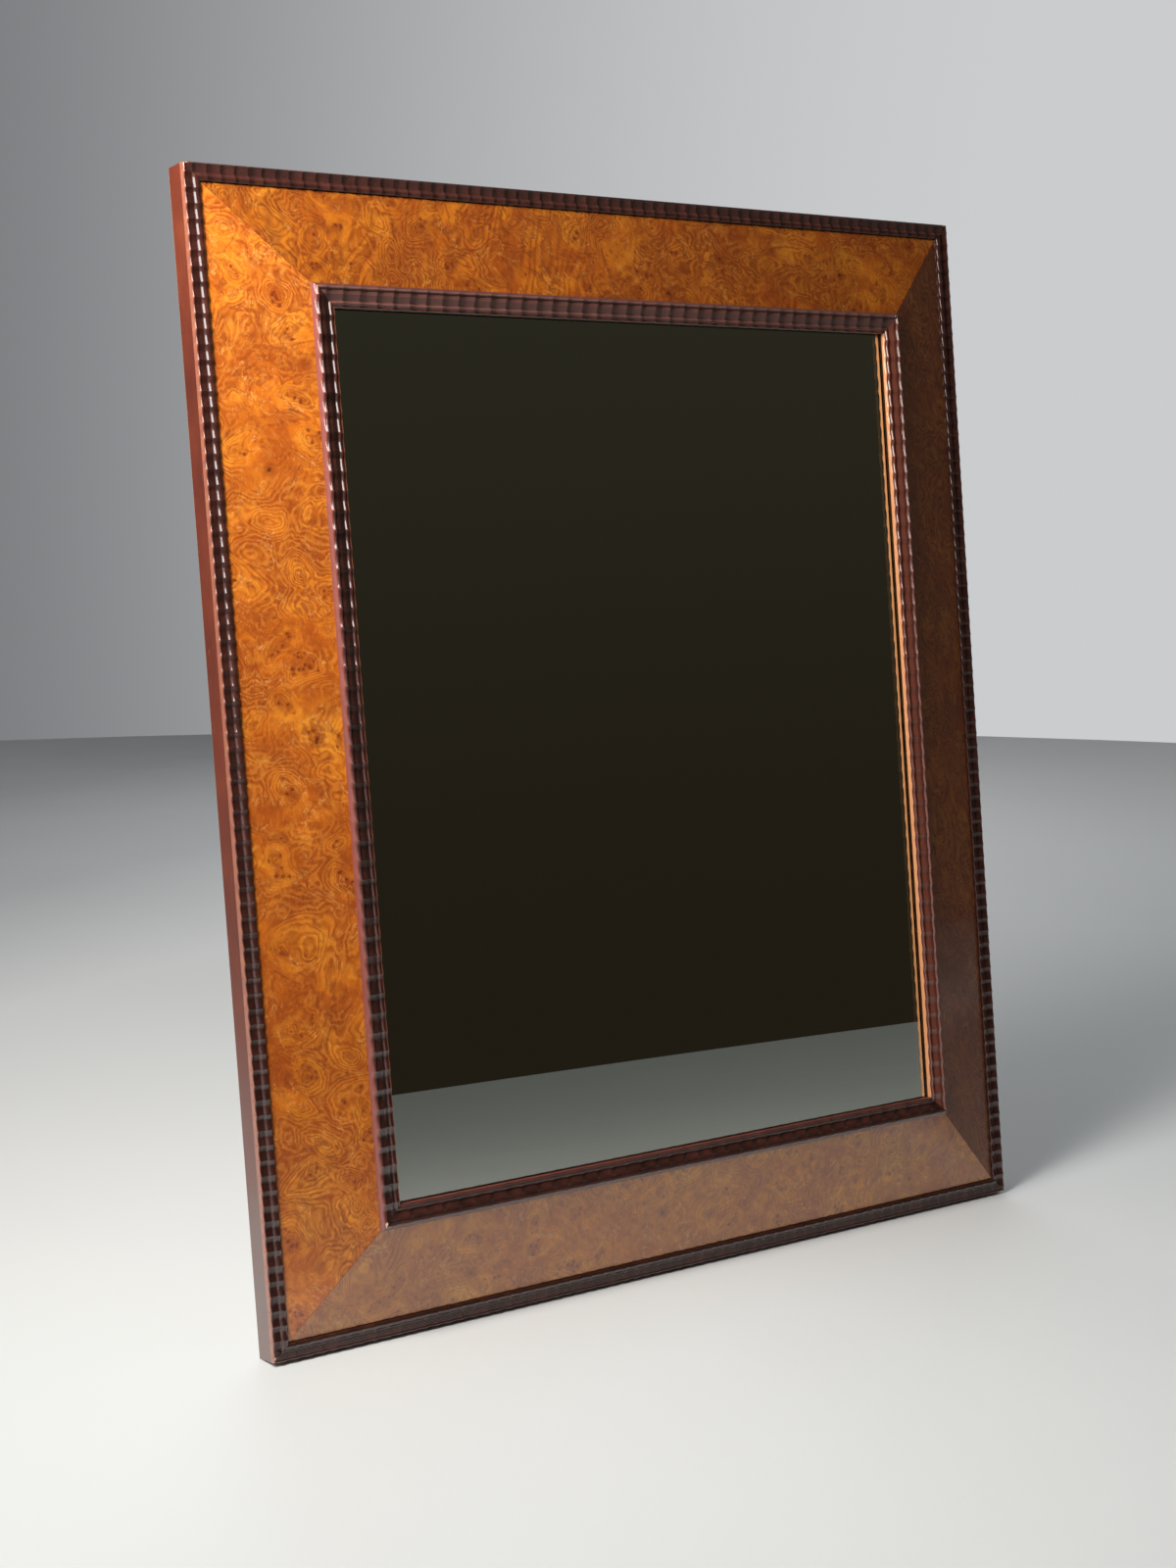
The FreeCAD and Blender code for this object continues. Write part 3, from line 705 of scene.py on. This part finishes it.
def hanger_ring(side, x, material):
    """A closed ring of round wire, hanging from its straight bar."""
    axis = Vector((x, BACK + HANGER_AXIS, HEIGHT - HANGER_DROP))
    right, left = Vector((RING_BAR / 2, 0, 0)), Vector((-RING_BAR / 2, 0, 0))
    down = Vector((0, 0, -RING_CORNER))
    quarter = math.radians(90)
    bm = bmesh.new()
    turn = Matrix.Translation(axis + left) @ Matrix.Rotation(quarter, 4, "Y")
    bmesh.ops.create_circle(bm, segments=16, radius=WIRE_RADIUS, matrix=turn)
    edges = carried_on(bm, bm.edges[:], (RING_BAR, 0, 0))
    edges = swung_on(bm, edges, axis + right + down, (0, 1, 0), quarter, steps=7)
    edges = carried_on(bm, edges, (0, 0, -RING_DROP))
    bow = axis + down - Vector((0, 0, RING_DROP))
    edges = swung_on(bm, edges, bow, (0, 1, 0), 2 * quarter, steps=26)
    edges = carried_on(bm, edges, (0, 0, RING_DROP))
    swung_on(bm, edges, axis + left + down, (0, 1, 0), quarter, steps=7)
    bmesh.ops.remove_doubles(bm, verts=bm.verts, dist=MERGED_TURNED)
    face_outwards(bm)
    piece = new_piece("ring_" + side, bm, [material], body=side + "_ring")
    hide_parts("hanger_ring_" + side)


def wood_screws(name, places, seat, length, material, node):
    """Screws driven from behind at (x, z), slightly domed and slotted, seated at y = seat."""
    line = [*SCREW_HEAD, (SCREW_SHANK, SCREW_TAPER - length), (SCREW_POINT, -length), (0, -length)]
    bm = bmesh.new()
    cutter = bmesh.new()
    for k, (x, z) in enumerate(places):
        verts = [bm.verts.new((x + r * MM, seat + height * MM, z)) for r, height in line]
        edges = [bm.edges.new(pair) for pair in zip(verts, verts[1:])]
        bmesh.ops.spin(bm, geom=verts + edges, cent=(x, 0, z), axis=(0, 1, 0), angle=2 * math.pi,
                       steps=24, use_merge=True)
        turn = Matrix.Rotation(FIRST_SLOT_TURN + SLOT_TURN * k, 4, "Y")
        place = Matrix.Translation((x, seat, z)) @ turn @ Matrix.Diagonal((*SCREW_SLOT, 1))
        bmesh.ops.create_cube(cutter, size=1.0, matrix=place)
    bmesh.ops.remove_doubles(bm, verts=bm.verts, dist=MERGED_TURNED)
    face_outwards(bm)
    piece = new_piece(name, bm, [material], sharp=25)
    slots = mesh_object(name + "_slots", cutter)
    boolean = piece.modifiers.new("slots", "BOOLEAN")
    boolean.object = slots
    bpy.context.view_layer.update()
    cut = piece.evaluated_get(bpy.context.evaluated_depsgraph_get())
    piece.data = bpy.data.meshes.new_from_object(cut)
    piece.modifiers.clear()
    bpy.data.objects.remove(slots)
    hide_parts(node)


def hardware(brass, steel):
    """Both hangers and all the screws."""
    strap_screws = []
    for side, x in (("left", -HANGER_X), ("right", HANGER_X)):
        hanger_strap(side, x, brass)
        hanger_ring(side, x, brass)
        strap_screws += [(x, HEIGHT - HANGER_DROP + height) for height in STRAP_SCREWS]
    wood_screws("strap_screws", strap_screws, BACK + STRAP_THICKNESS, STRAP_SCREW_LENGTH, steel,
                "hanger_screws")
    corner_screws = [(way * (HALF_WIDTH - x_inset), z) for x_inset, z_inset in CORNER_SCREW_INSETS
                     for way in (-1, 1) for z in (z_inset, HEIGHT - z_inset)]
    wood_screws("frame_screws", corner_screws, BACK, CORNER_SCREW_LENGTH, steel, "corner_screws")


# Stage

LEAN = math.radians(7.1)        # the mirror leans back, so the floor falls away to its front
FLOOR_RADIUS = 5.2
# Each lamp's place, target, size, power and colour, and whether reflections show it.
LAMPS = {
    "left_lamp": ((-2.04, -0.90, 1.72), (0, 0, 0.6), (1.00, 1.30), 34,
                  (1.0, 0.975, 0.945), True),
    "near_lamp": ((-0.98, -0.42, 1.58), (-0.4, 0, 0.9), (0.50, 0.50), 23,
                  (1.0, 0.965, 0.925), False),
    "back_lamp": ((1.5, 3.0, 2.6), (0, 1.5, 0), (2.5, 2.0), 27,
                  (0.94, 0.97, 1.0), False),
}
CAMERA_PLACE = Vector((-1.4726, -1.9781, 0.5784))
CAMERA_AHEAD = Vector((0.5758, 0.8159, -0.0520))
CAMERA_UP = Vector((0.0859, 0.0028, 0.9963))
CAMERA_LENS = 55.1              # millimetres, as the sensor's width
CAMERA_SENSOR = 36
CAMERA_RISE = 0.0356
CAMERA_RANGE = (0.05, 50)


def stage_floor():
    """A pale floor with painted shading that darkens it to its left and away from the lamps, and
    that reflections show darker, with a painted shadow at the mirror's right.
    """
    f = Finish("floor_paint", Specular_IOR_Level=0.3)
    place = f.place()
    x, y, _ = f.axes(place)
    f.body = f.mix(f.noise(place, 1.3, 3), (0.80, 0.80, 0.785), (0.845, 0.845, 0.83))
    # Painted shading: darker to the left and towards the back, as the lamps' light falls off.
    f.lay(1.0, f.mix(x.step(0.1, -1.3), (1.0, 1.0, 1.0), (0.76, 0.77, 0.76)), "MULTIPLY")
    far = y - x * 0.45
    f.lay(1.0, f.ramp(far * 0.25, (0.00, (0.93, 0.955, 0.97)), (0.17, (0.98, 0.99, 0.99)),
                      (0.40, (1.00, 1.00, 1.00)), (0.60, (0.61, 0.615, 0.62)),
                      (0.90, (0.37, 0.375, 0.38))), "MULTIPLY")
    # In reflections: painted dimming past the floor's front and a painted shadow at the mirror's
    # right.
    mirrored = f.mix(y.step(-0.30, -0.90), (0.90, 0.90, 0.88), (0.46, 0.46, 0.43))
    painted_shadow_right = x.step(0.44, 0.58) * y.step(-0.60, -0.40)
    mirrored = f.mix(painted_shadow_right, mirrored, (0.34, 0.31, 0.29))
    camera_ray = f.ray("Camera")
    seen = camera_ray.higher(f.ray("Glossy")).higher(f.ray("Transmission"))
    shown = f.mix(camera_ray, mirrored, f.body)
    f.feed("Base Color", f.mix(seen, (0.40, 0.40, 0.39), shown))
    f.feed("Roughness", 0.42 + f.noise(place, 4, 3) * 0.15)
    bm = bmesh.new()
    bmesh.ops.create_circle(bm, cap_ends=True, segments=96, radius=FLOOR_RADIUS)
    bmesh.ops.rotate(bm, verts=bm.verts, matrix=Matrix.Rotation(LEAN, 3, "X"))
    bmesh.ops.translate(bm, verts=bm.verts, vec=(0, BACK, 0))
    floor = mesh_object("floor", bm, [f.material])


def studio_world():
    """A pale backdrop for the camera. Reflections and the light come from a dim front, with soft
    light at the left and above."""
    world = bpy.data.worlds.new("studio")
    bpy.context.scene.world = world
    world.use_nodes = True
    w = Nodes(world.node_tree)
    x, y, z = w.axes(w.node("ShaderNodeTexCoord", output="Generated"))
    front = w.mix(z.step(-0.12, 0.40), (0.017, 0.013, 0.008), (0.032, 0.030, 0.020))
    behind = w.mix(x.step(-0.45, 0.55), (0.17, 0.175, 0.185), (0.42, 0.44, 0.47))
    around = w.mix(y.step(-0.10, 0.55), front, behind)
    left_light = x.step(-0.55, -0.92) * z.step(-0.25, 0.10)
    around = w.mix(left_light, around, (0.85, 0.86, 0.88))
    around = w.mix(z.step(0.50, 0.95), around, (0.20, 0.205, 0.21))
    right_glow = x.step(0.80, 0.97) * y.step(0.10, -0.10)
    around = w.mix(right_glow, around, (0.062, 0.050, 0.042))
    backdrop = w.mix(x.step(0.30, 0.72), (0.180, 0.184, 0.194), (0.592, 0.604, 0.618))
    backdrop = w.mix(y.step(0.05, -0.25), backdrop, (0.42, 0.43, 0.44))
    colour = w.mix(w.ray("Camera"), around, backdrop)
    background = w.node("ShaderNodeBackground", inputs={"Color": colour})
    output = w.tree.nodes.new("ShaderNodeOutputWorld")
    w.tree.links.new(background.socket, output.inputs["Surface"])


def lamp(name, place, target, size, power, colour, mirrored):
    """A soft oval lamp that faces its target. One that isn't mirrored shows in no reflection."""
    light = bpy.data.lights.new(name, "AREA")
    light.shape = "ELLIPSE"
    light.size, light.size_y = size
    light.energy = power
    light.color = colour
    made = in_scene(name, light)
    made.location = place
    made.rotation_euler = (Vector(target) - Vector(place)).to_track_quat("-Z", "Y").to_euler()
    made.visible_camera = False
    made.visible_glossy = mirrored


def camera():
    """At the photograph's place, turned to its view, with its small rise of the lens."""
    data = bpy.data.cameras.new("camera")
    data.lens = CAMERA_LENS
    data.sensor_width = CAMERA_SENSOR
    data.shift_y = CAMERA_RISE
    data.clip_start, data.clip_end = CAMERA_RANGE
    made = in_scene("camera", data)
    ahead = CAMERA_AHEAD.normalized()
    right = ahead.cross(CAMERA_UP).normalized()
    matrix = Matrix((right, right.cross(ahead), -ahead)).transposed().to_4x4()
    matrix.translation = CAMERA_PLACE
    made.matrix_world = matrix
    bpy.context.scene.camera = made


# The mirror

bpy.context.scene.view_settings.view_transform = "Standard"

ebonised = moulding_finish("ebonised_polish")
# Painted light: a painted floor reflection on the top moulding, painted lamp light on the right.
INNER_POLISH = {
    "left": ebonised,
    "top": moulding_finish("ebonised_polish_painted_reflection", 0.40, (0.215, 0.100, 0.085)),
    "right": moulding_finish("ebonised_polish_painted_lamplight", 0.45, (0.260, 0.075, 0.045)),
    "bottom": ebonised,
}
for side in SIDES:
    piece = ripple_moulding("outer_moulding_" + side, side, OUTER_OUTLINE, 0.0, OUTER_BED,
                            OUTER_RIPPLE, ebonised)
    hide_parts("outer_ripple_" + side)
    piece = ripple_moulding("inner_moulding_" + side, side, INNER_OUTLINE, INNER_START, INNER_BED,
                            INNER_RIPPLE, INNER_POLISH[side])
    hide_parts("inner_ripple_" + side)
silver_sheet()
hardware(metal_finish("aged_brass", (0.50, 0.36, 0.16), (0.31, 0.20, 0.09), 0.32, 70),
         metal_finish("dull_steel", (0.36, 0.35, 0.33), (0.20, 0.18, 0.16), 0.36, 260))

# The shift, tint, figure, slant and lines of each leaf. The tint is painted shading and painted
# light for each side: it darkens the top and right leaves, and turns the bottom leaf lighter and
# greyer as a painted reflection of the floor.
BURR_LEAVES = {
    "left": ((0.0, 0.0, 0.0), (0.98, 0.95, 1.02), 0.30, 1.1, 1.0),
    "top": ((1.7, 0.3, 0.9), (0.68, 0.62, 0.50), 1.0, -0.45, 1.1),
    "right": ((-2.2, 0.6, 1.4), (0.66, 0.60, 0.74), 0.8, 0.5, 1.2),
    "bottom": ((0.8, -1.1, 2.3), (1.14, 1.38, 2.00), 0.8, 0.6, 0.70),
}
upright_wood = timber_finish("softwood_upright_painted", True, painted=True)
level_wood = timber_finish("softwood_level_painted", False, painted=True)
# Finishes of the pieces that keep the CAD's shape.
FINISHES = {
    "mirror_glass": glass_finish(),
    "glazing_blocks": timber_finish("softwood_blocks", True),
    "backboard_left": timber_finish("softwood_board_left", True, False, (0.4, 0.9, 0.2), 0.98),
    "backboard_middle": timber_finish("softwood_board_middle", True, False, (2.3, 0.2, 1.4), 0.84),
    "backboard_right": timber_finish("softwood_board_right", True, False, (4.9, 1.7, 0.7), 1.06),
    "backboard_nails": metal_finish("dark_iron", (0.13, 0.12, 0.115), (0.10, 0.055, 0.035),
                                    0.50, 300),
}
for side in SIDES:
    wood = upright_wood if side in ("left", "right") else level_wood
    FINISHES["burr_veneer_" + side] = Burr("burr_" + side, *BURR_LEAVES[side]).material
    FINISHES["face_member_" + side] = wood
    FINISHES["back_frame_" + side] = wood

for name, material in FINISHES.items():
    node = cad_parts[name]
    node.data.materials.clear()
    node.data.materials.append(material)

stage_floor()
studio_world()
for name, settings in LAMPS.items():
    lamp(name, *settings)
camera()
